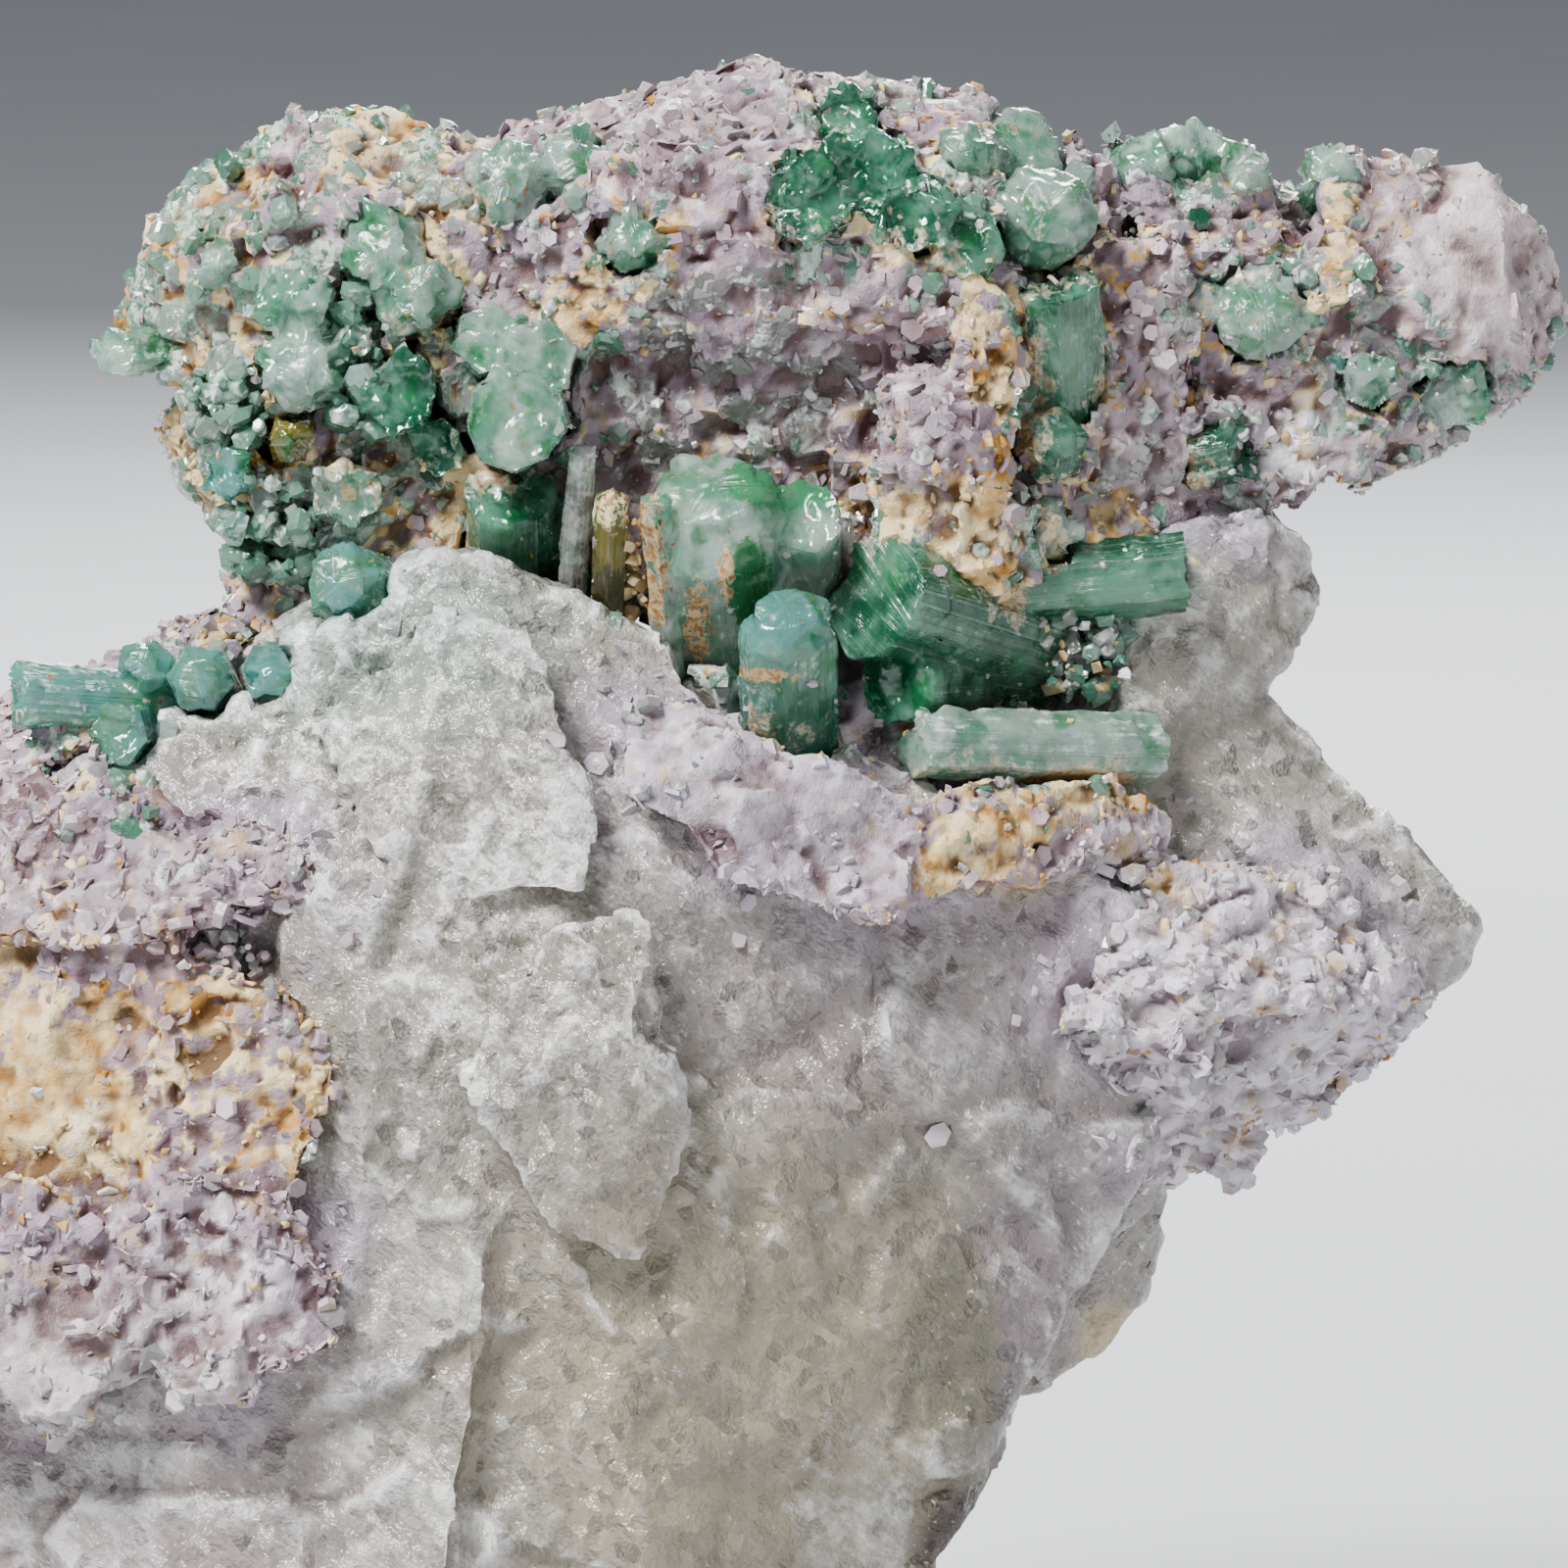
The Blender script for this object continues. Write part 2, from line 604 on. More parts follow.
def plan_at(points, normals, nodes):
    """At each point, in millimetres: each kind's share, how near a neighbour is, and how far it is clay."""
    drift = np.array([drift_at(Vector(p)) for p in points])
    base, clay = own_mix(points, nodes)
    plan = base * drift
    front = np.clip((FRONT - points[:, 1]) / FRONT_FADE, 0, 1) * np.clip(0.6 - normals[:, 1] * 2, 0, 1)
    if not nodes[0].startswith("tourmaline"):
        for x, z, radius, parts in PATCHES:
            away = (points[:, 0] - x) ** 2 + (points[:, 2] - z) ** 2
            near = (np.exp(-away / radius**2) * front)[:, None]
            plan = plan * (1 - PATCH_CLEARS * near) + near * parts * drift
    nearest = np.full(len(points), REACH)
    for family, (parts, fade, strength) in TOUCHES.items():
        others = [node for node in frame["nodes"] if node.startswith(family) and node not in nodes]
        gap = gaps_to(tree_of(others), points) if others else nearest
        nearest = np.minimum(nearest, gap)
        touch = np.where(gap < REACH, np.exp(-gap / fade), 0.0)[:, None]
        plan = plan * (1 - TOUCH_CLEARS * touch) + strength * touch * parts * drift
    return plan / plan.sum(axis=1, keepdims=True), nearest, clay


# ------------------------------------------------------------------ finishes

# Colours of clouds, stains and frost that no setting changes.
GREY_CLOUD = paint(138, 131, 120)
GREEN_STAIN = paint(150, 196, 182)
LILAC_STAIN = paint(196, 182, 198)
CLAY_STAIN = paint(220, 200, 160)
GREY_MICA = paint(190, 178, 182)
ROSY_MICA = paint(206, 180, 184)
DARK_MICA = paint(140, 126, 138)
WHITE_MICA = paint(232, 227, 234)
SEAM_BROWN = paint(128, 104, 116)
IRON_STAIN = paint(208, 176, 126)
CHALK = paint(250, 240, 216)
TAN_CLAY = paint(214, 178, 130)
GREY_GLASS = paint(150, 150, 146)
MINT_GLASS = paint(172, 208, 184)
MINT_CHIP = paint(166, 204, 184)
VIVID_GREEN = paint(40, 150, 84)
PALE_STRIPE = paint(214, 232, 222)
FROST = paint(232, 236, 230)
CHIP_FROST = paint(236, 240, 236)
GREEN_FROST = paint(232, 240, 234)
DIRT = paint(214, 196, 160)
BROWN_GRIT = paint(156, 118, 76)

QUARTZ_LEAN = (0.0, math.radians(38), 0.0)  # how its veils lean
SEAM_LEAN = (0.0, math.radians(28), 0.0)  # how the seams between sheets of mica lean

# Stains inside the quartz: place and radii in millimetres, softness, strength and colour.
QUARTZ_STAINS = {
    "warm": ((3, -15, 21), (12, 14, 12), 0.6, 0.8, paint(186, 173, 147)),
    "lilac": ((12, -10, 39), (12, 14, 7), 0.6, 0.5, paint(164, 148, 158)),
    "rosy": ((-26, -14, 16), (11, 12, 9), 0.5, 0.5, paint(188, 168, 174)),
    "violet": ((17, -8, 24), (4.5, 8, 8), 0.5, 0.6, paint(142, 126, 144)),
    "mossy": ((12, -9, 22), (2.4, 8, 5), 0.3, 0.7, paint(134, 130, 108)),
    "smoky": ((12.8, -4, 12.8), (2.6, 20, 3.6), 0.3, 0.9, paint(64, 46, 36)),
}

# Where the quartz is whiter: place and radii in millimetres, softness and strength.
WHITE_SHEETS = (
    ((-6.5, -12, 45), (4, 8, 3.5), 0.7, 0.28),
    ((-11.5, -14, 20), (4.5, 10, 10), 0.4, 0.22),
    ((8.5, -10, 15.5), (4.5, 10, 4), 0.5, 0.26),
    ((-25, -14, 14), (9, 10, 7), 0.6, 0.14),
)


def quartz_finish(settings):
    """Milky, smoky quartz: cloudy glass under white veils and bruised breaks, stained by what grows on it."""
    finish = Finish("milky_quartz")
    ridge = finish.attribute("ridge")
    veil = finish.noise(7, 5, 0.62, stretch=(1.7, 1, 0.7), turn=QUARTZ_LEAN)
    fine = finish.noise(0.9, 3, 0.75)
    feather = finish.noise(0.8, 3, 0.72, stretch=(2.4, 1, 0.5), turn=QUARTZ_LEAN)
    sparks = finish.noise(0.3, 1, 0.5, stretch=(1.5, 1, 0.9), turn=QUARTZ_LEAN)
    crowd = finish.noise(3.0, 3, 0.65)
    spots = {name: finish.spot(*stain[:3]) for name, stain in QUARTZ_STAINS.items()}
    warm, mossy, smoky = spots["warm"], spots["mossy"], spots["smoky"]
    clear = settings.clear[:]
    for name, (_, _, _, strength, stain) in QUARTZ_STAINS.items():
        clear = finish.mix(spots[name] * strength, clear, stain)
    clear = finish.mix(finish.noise(3.2, 2, 0.6).step(0.35, 0.7) * 0.4, clear, GREY_CLOUD)
    flecks = (sparks + (crowd - 0.5) * 0.5 + ridge * 0.2 - warm * 0.07).step(0.62, 0.78) * 0.55
    haze = veil + (fine - 0.5) * 0.4 + (feather - 0.5) * 0.5 + ridge * 1.3
    for at, radii, soft, strength in WHITE_SHEETS:
        haze = haze + finish.spot(at, radii, soft) * strength
    haze = haze - warm * 0.1 - smoky * 0.6 - mossy * 0.15
    sugary = finish.spot((-13, -12, 46), (15, 14, 15), 0.6) * 0.6 + crowd.step(0.4, 0.7) * 0.4 - warm * 0.3
    grit = finish.noise(0.42, 2, 0.8, stretch=(1.3, 1, 0.9), turn=QUARTZ_LEAN)
    haze = (haze.step(0.42, 0.95) * 0.85 + (grit - 0.5) * sugary * 2.8).most(flecks)
    tone = finish.mix(haze, clear, settings.frost[:])
    green = finish.attribute("mint") + finish.attribute("teal") + finish.attribute("glass") * 0.4
    green = green.step(0.04, 0.3).most(finish.spot((-14, -9, 54.5), (8, 9, 4.5), 0.6) * 0.6)
    tone = finish.mix(green * 0.5, tone, GREEN_STAIN)
    tone = finish.mix(finish.attribute("flake").step(0.02, 0.35) * 0.7, tone, LILAC_STAIN)
    tone = finish.mix(finish.attribute("crumb").step(0.08, 0.5) * 0.8, tone, CLAY_STAIN)
    normal = finish.bump(fine * 0.8 + grit * 0.7, 0.26, 0.8, over=finish.glitter(0.7, 0.75))
    see_through = {"Transmission Weight": 0.7}
    glassy = finish.surface(tone, haze.step(0, 1, 0.1, 0.42), QUARTZ_IOR, normal, see_through)
    coated = {"Coat Weight": 0.35, "Coat Roughness": 0.15}
    milky = finish.surface(tone, haze.step(0, 1, 0.2, 0.5), QUARTZ_IOR, normal, coated)
    return finish.done(finish.blend(haze.step(0, 1, 0.6, 0.97), glassy, milky))


# Where the mica is paler: place and radii in millimetres, softness, strength and colour.
PALE_MICA = (
    ((38.5, 6, 71.5), (5.5, 12, 6), 0.4, 0.8, paint(228, 212, 212)),
    ((28.4, 0, 62.6), (1.8, 8, 1.8), 0.4, 1.0, paint(246, 244, 246)),
    ((4, -14, 48), (9, 12, 6), 0.5, 0.5, paint(214, 211, 222)),
    ((-25, -14, 20), (11, 12, 5.5), 0.5, 0.7, paint(226, 220, 222)),
    ((-19.5, -14, 26.8), (2.6, 12, 1.8), 0.4, 0.8, paint(244, 236, 242)),
)


def mica_tone(finish, settings, draw, deep):
    """Lilac mica: each flake has its own share of pearl, and the hollows are browner."""
    tone = finish.mix(finish.noise(5, 2, 0.6).step(0.35, 0.65), settings.lilac[:], GREY_MICA)
    tone = finish.mix(finish.noise(7, 2, 0.6).step(0.5, 0.66) * 0.7, tone, ROSY_MICA)
    tone = finish.mix(draw.step(0.45, 1.0) * 0.7, tone, settings.pearl[:])
    tone = finish.mix(draw.step(0.35, 0.0) * 0.5, tone, DARK_MICA)
    wedge = finish.spot((26, -6, 36), (11, 12, 9), 0.4)
    tone = finish.mix(wedge * 0.7, tone, WHITE_MICA)
    seams = finish.noise(1.2, 2, 0.65, stretch=(2.6, 1, 0.5), turn=SEAM_LEAN)
    tone = finish.mix(seams.step(0.42, 0.3) * wedge * 0.7, tone, SEAM_BROWN)
    for at, radii, soft, strength, pale in PALE_MICA:
        tone = finish.mix(finish.spot(at, radii, soft) * strength, tone, pale)
    tone = finish.mix(finish.noise(2.6, 3, 0.7).step(0.56, 0.68) * 0.6, tone, IRON_STAIN)
    return finish.mix(deep * (0.85 - wedge * 0.35), tone, settings.shade[:])


def clay_tone(finish, settings, draw, deep):
    """Buff clay: cream to ochre, with brown pits."""
    tone = finish.mix(finish.noise(3.4, 3, 0.68).step(0.44, 0.66), settings.cream[:], settings.ochre[:])
    tone = finish.mix(draw.step(0.6, 1.0) * 0.6, tone, CHALK)
    tone = finish.mix(finish.noise(0.6, 2, 0.65).step(0.5, 0.72) * 0.5, tone, TAN_CLAY)
    return finish.mix(deep * 0.9, tone, settings.umber[:])


def loose_finish(name, tone_of, settings, shine):
    """Loose flakes or crumbs, each with its own draw."""
    finish = Finish(name)
    draw = finish.attribute("tint")
    tone = tone_of(finish, settings, draw, finish.noise(1.6, 2, 0.6).step(0.62, 0.4) * 0.35)
    normal = finish.bump(finish.noise(0.25, 1, 0.6), 0.08, 0.6)
    roughness = draw.step(0, 1, 0.9 - 0.9 * shine, 0.9 - 1.3 * shine)
    return finish.done(finish.surface(tone, roughness, normal=normal))


def matrix_finish(settings, crust, gems):
    """Mica, clay and small clear crystals grown together, each grain in its own tone."""
    finish = Finish("mica_and_clay")
    leaf, grain = finish.attribute("leaf"), finish.attribute("grain")
    hollow = finish.attribute("ridge").step(0.07, -0.16)
    ragged = finish.noise(0.8, 2, 0.7) - 0.5
    earthy = (finish.attribute("earth") + ragged * 0.7 + (leaf - 0.5) * 0.3).step(0.42, 0.58)
    mica = mica_tone(finish, settings, leaf, hollow)
    clay = clay_tone(finish, settings, leaf, hollow)
    normal = finish.bump(finish.noise(0.5, 3, 0.75), 0.2, 0.8, over=finish.glitter(0.5, 0.3))
    roughness = leaf.step(0, 1, 0.6, 0.3).most(earthy * 0.9)
    stone = finish.surface(finish.mix(earthy, mica, clay), roughness, normal=normal)
    grey = finish.spot((2, -6, 68), (10, 16, 7), 0.5)
    clear = finish.mix(grey * 0.8, crust.glass_colour[:], GREY_GLASS)
    green = finish.mix(finish.attribute("teal").step(0.1, 0.5), gems.mint[:], gems.deep[:])
    tone = finish.mix((finish.attribute("green") + (grain - 0.5) * 0.7).step(0.25, 0.75), clear, green)
    tone = finish.mix(finish.spot((-18, -2, 67.5), (9, 14, 7.5), 0.5) * 0.5, tone, MINT_GLASS)
    tone = finish.mix(leaf.step(0.5, 1.0) * 0.35, tone, gems.pale[:])
    frost = (finish.noise(0.9, 3, 0.7) + grain * 0.3).step(0.62, 0.82) * 0.8
    white = finish.mix(0.35, FROST, tone)
    gem = gem_shaders(finish, tone, frost, normal, white)
    glassy = (finish.attribute("gem") + (grain - 0.5) * 0.6 + ragged * 0.4).step(0.42, 0.52)
    dirt = 1 - hollow * 0.8
    return finish.done(finish.blend(glassy * dirt, stone, gem))


def gem_shaders(finish, tone, frost, normal, white, glow=0.5):
    """Clear crystal with a glow inside, under a frosted rind."""
    more = {
        "Transmission Weight": 0.55,
        "Subsurface Weight": glow,
        "Subsurface Radius": (0.7, 1.0, 0.9),
        "Subsurface Scale": 2.2 * MM,
        "Coat Weight": 0.6,
        "Coat Roughness": 0.06,
    }
    gem = finish.surface(tone, finish.noise(0.5, 1).step(0.3, 0.8, 0.06, 0.3), TOURMALINE_IOR, normal, more)
    rind = finish.surface(white, 0.5, RIND_IOR, normal)
    return finish.blend(frost, gem, rind)


def tourmaline_finish(name, body, core, frosting, coats=(), hearts=()):
    """Clear green tourmaline, striped along the prism, with a frosted skin, richer hearts, coats and dirt."""
    finish = Finish(name)
    stripe = finish.node(
        "ShaderNodeTexNoise",
        {"noise_dimensions": "1D"},
        {"W": finish.attribute("across"), "Scale": 2.6, "Detail": 3.0, "Roughness": 0.75},
    )
    side = 1 - finish.attribute("tip")
    fine = finish.noise(0.4, 2, 0.7)
    blotch = finish.noise(2.6, 3, 0.62)
    tone = finish.mix(blotch.step(0.42, 0.62), body, core)
    tone = finish.mix(finish.noise(1.7, 1).step(0.58, 0.7) * 0.7, tone, VIVID_GREEN)
    tone = finish.mix(stripe.step(0.5, 0.8) * side * 0.35, tone, PALE_STRIPE)
    rime = finish.noise(1.5, 4, 0.72) * 0.75 + stripe * side * 0.35 + fine * 0.2
    for at, radii, heart in hearts:
        here = finish.spot(at, radii, 0.5) + (stripe - 0.5) * side * 1.2 + (fine - 0.5) * 0.8
        here = here.step(0.42, 0.6)
        tone = finish.mix(here * 0.9, tone, heart)
        rime = rime - here * 0.14
    frost = rime.step(0.8 - 0.3 * frosting, 1.0 - 0.3 * frosting)
    white = finish.mix(0.3, GREEN_FROST, body)
    dirt = finish.attribute("crumb") + finish.attribute("flake") * 0.5
    dirt = dirt + (finish.noise(1.1, 3, 0.72) - 0.5) * 1.1
    layers = [(dirt.step(0.3, 0.5) * 0.9, DIRT)]
    gritty = finish.noise(0.45, 2, 0.75)
    runs = finish.noise(0.9, 2, 0.7, stretch=(0.5, 0.5, 3.0))
    for at, radii, coat in coats:
        here = finish.spot(at, radii, 0.6) * 0.9 + (gritty - 0.5) * 1.8 + (runs - 0.5) * 2.2
        layers.append((here.step(0.45, 0.7), coat))
    for here, coat in layers:
        coat = finish.mix(gritty.step(0.45, 0.62), coat, BROWN_GRIT)
        white = finish.mix(here, white, coat)
        tone = finish.mix(here, tone, coat)
        frost = frost.most(here)
    height = stripe * side * 0.75 + fine * 0.25
    normal = finish.bump(height, 0.2, 0.8, over=finish.glitter(0.9, 0.22))
    return finish.done(gem_shaders(finish, tone, frost * 0.95, normal, white))


def chip_finish(name, colours, frosting):
    """Small broken crystals, each with its own share of colour and of frost."""
    finish = Finish(name)
    draw = finish.attribute("tint")
    tone = finish.mix(draw.step(0, 0.5), colours[0], colours[1])
    tone = finish.mix(draw.step(0.5, 1), tone, colours[2])
    tone = finish.mix(finish.spot((-16, 0, 65), (12, 16, 14), 0.4) * 0.4, tone, MINT_CHIP)
    rime = finish.noise(0.8, 2, 0.7) + draw * 0.3
    frost = rime.step(0.85 - 0.3 * frosting, 1.05 - 0.3 * frosting)
    normal = finish.bump(finish.noise(0.35, 1, 0.7), 0.1, 0.6)
    white = finish.mix(0.35, CHIP_FROST, tone)
    return finish.done(gem_shaders(finish, tone, frost * 0.85, normal, white, glow=0.0))


# ------------------------------------------------------------------ pieces


def quartz_relief(p):
    """The height of the quartz's broken skin at p, all in millimetres."""
    if p.z < FOOT:
        return 0.0
    bold = 0.55 * facets(p, 8.5, 3.0, 0.05)[0] + 0.22 * facets(p, 2.9, 8.0, 0.06)[0]
    sugary = max(0.0, min(1.0, 0.35 + 1.6 * cloud(p, 7, 3.0) + 0.04 * (p.z - 38)))
    rough = 0.24 * facets(p, 1.2, 5.0, 0.06)[0] + 0.08 * cloud(p, 0.8, 2.0)
    return 0.2 + bold + rough * sugary + 0.05 * cloud(p, 1.3, 2.0)


def matrix_relief(p, shares, sheets):
    """The height of mica and clay at p, in millimetres, and the draws of its coarse and fine grain."""
    bare, flake, *clear, crumb = shares
    coarse, grain = facets(p, 1.7, 9.0, 0.08)
    broad, _ = facets(p, 2.3, 5.0, 0.2)
    fine, leaf = facets(p, 0.85, 1.0)
    height = 0.35 * cloud(p, 3.4, 4.0) + 0.12 * bare
    if sheets > 0:
        along, over = p.x * SHEET_RUN.x + p.z * SHEET_RUN.y, p.z * SHEET_RUN.x - p.x * SHEET_RUN.y
        books = noise.noise(Vector((along / 5, p.y / 2, over / 1.1)))
        leaves = noise.noise(Vector((along / 1.8, p.y, over / 0.55 + 9)))
        height += 0.45 * sheets * (books + 0.8 * leaves)
    height += flake * (0.28 * broad + 0.34 * fine)
    height += sum(clear) * (0.7 * coarse + 0.18 * fine)
    height += crumb * (0.3 * cloud(p, 1.1, 6.0) + 0.36 * fine - 0.3 * max(0.0, cloud(p, 2.4, 12.0) - 0.3))
    return height, grain, leaf


class Piece:
    """What every operator that adds pieces shares."""

    bl_options = {"REGISTER", "UNDO"}

    def place(self, piece, slot, *nodes):
        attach(piece, "root")
        if nodes:
            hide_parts(*nodes)

    def noted(self, mesh, plan):
        """Keeps the share of each kind of grain at each vertex."""
        for kind, shares in zip(KINDS, plan.T):
            note(mesh, kind, shares)


class SPECIMEN_OT_quartz(Piece, bpy.types.Operator):
    """Adds the block of milky quartz"""

    bl_idname = "specimen.quartz"
    bl_label = "Quartz"

    def execute(self, context):
        settings = context.scene.specimen.quartz
        mesh = remeshed(merged_copy("quartz_block"), settings.voxel)
        points = points_of(mesh) / MM
        plan, gap, _ = plan_at(points, normals_of(mesh), ["quartz_block"])
        weld = QUARTZ_WELD * np.exp(-gap / WELD_FADE)
        weld[points[:, 2] < FOOT] = 0
        raised(mesh, np.array([quartz_relief(Vector(p)) for p in points]) + weld)
        self.noted(mesh, plan)
        note(mesh, "ridge", ridges(mesh))
        block = link("skin_quartz_block", smoothed(mesh, STONE_EDGE), quartz_finish(settings))
        self.place(block, "quartz", "quartz_block")
        return {"FINISHED"}


class SPECIMEN_OT_matrix(Piece, bpy.types.Operator):
    """Adds the masses of lilac mica and buff clay"""

    bl_idname = "specimen.matrix"
    bl_label = "Mica and clay"

    def execute(self, context):
        specimen = context.scene.specimen
        settings = specimen.matrix
        finish = matrix_finish(settings, specimen.crust, specimen.tourmaline)
        for name, (gap_share, sheets, nodes) in MASSES.items():
            crystals = self.crystals_in(nodes)
            fillet = settings.fillet * gap_share
            mesh = self.mass(nodes, crystals, fillet, settings.voxel)
            points = points_of(mesh) / MM
            plan, gap, clay = plan_at(points, normals_of(mesh), nodes)
            relief = np.array([matrix_relief(Vector(p), shares, sheets) for p, shares in zip(points, plan)])
            height = relief[:, 0] + RISE + MATRIX_WELD * np.exp(-gap / WELD_FADE)
            swollen = fillet / MM
            if crystals:
                close = gaps_to(tree_of(crystals), points)
                out = gaps_to(tree_of(nodes), points) - swollen
                under = np.clip((out - BURIED) / BURIED_FADE, 0, 1)
                height = (height - swollen * np.clip(close / HUG, 0, 1)) * (1 - under)
            else:
                height = height - swollen
                under = np.zeros(len(points))
            raised(mesh, height)
            bare, flake, glass, mint, teal, crumb = plan.T.copy()
            plan[under > 0.5] = mix(bare=1)
            self.noted(mesh, plan)
            clear = glass + mint + teal
            note(mesh, "gem", clear)
            note(mesh, "green", (mint + teal) / np.maximum(clear, 0.001))
            note(mesh, "earth", (crumb + bare * clay) / (crumb + bare + flake))
            note(mesh, "grain", relief[:, 1])
            note(mesh, "leaf", relief[:, 2])
            note(mesh, "ridge", ridges(mesh))
            slot = "clay" if name == "left" else "lepidolite"
            self.place(link(f"skin_{name}", smoothed(mesh, STONE_EDGE), finish), slot, *nodes)
        return {"FINISHED"}

    def crystals_in(self, nodes):
        """The tourmalines that touch any of the nodes, or nearly do."""
        tree = tree_of(nodes)
        found = []
        for node in tourmalines():
            corners = points_of(frame["nodes"][node].data)
            if any(tree.find_nearest(Vector(p), NEARLY * MM)[3] is not None for p in corners):
                found.append(node)
        return found

    def mass(self, nodes, crystals, fillet, voxel):
        """CAD solids, swollen so that small gaps fill, round the hidden cores of the crystals in them."""
        whole = bmesh.new()
        for node in (*nodes, *crystals):
            shape = merged_copy(node)
            move = fillet
            if node in crystals:
                thickness = 2 * shape.calc_volume() / sum(face.calc_area() for face in shape.faces)
                move = -min(CORE * MM, 0.8 * thickness)
            for vert in shape.verts:
                vert.co += vert.normal * move
            whole.from_mesh(mesh_of(shape))
        return remeshed(whole, voxel)


# How each kind of grain stands: the setting of its size, the least share of that, the rest and how rare large
# ones are, how deep it sits, and how far it points out of the stone, any way at all and forward.
GRAINS = {
    "flake": ("flake", 0.4, 1.3, 2.5, (-0.1, 0.45), 1, 0.8, 0),
    "mint": ("chip", 0.4, 1.5, 2, (0.25, 0.75), 1, 0.6, 0.5),
    "teal": ("chip", 0.4, 1.5, 2, (0.25, 0.75), 1, 0.6, 0.5),
    "glass": ("glass", 0.35, 1.6, 3, (0.15, 0.7), 0, 1, 0),
    "crumb": ("crumb", 0.4, 1.4, 2, (0.1, 0.6), 0, 1, 0),
}


QUARTZ_SHARE = 0.2  # of the usual cover of grains
CRYSTAL_SHARE = 0.4
CRYSTAL_SCALE = 0.6  # of the usual size of grains

# How grains fill a hollow.
RIM_RAYS = 16
RIM_SPREAD = 1.2  # of its radius
RIM_START = -40  # millimetres, well in front of everything
PILED = 24  # grains for a radius of a millimetre
PILE_DEPTHS = (0.2, 3.2)  # millimetres behind the rim
PILE_SCALE = 1.2  # of the usual size of grains


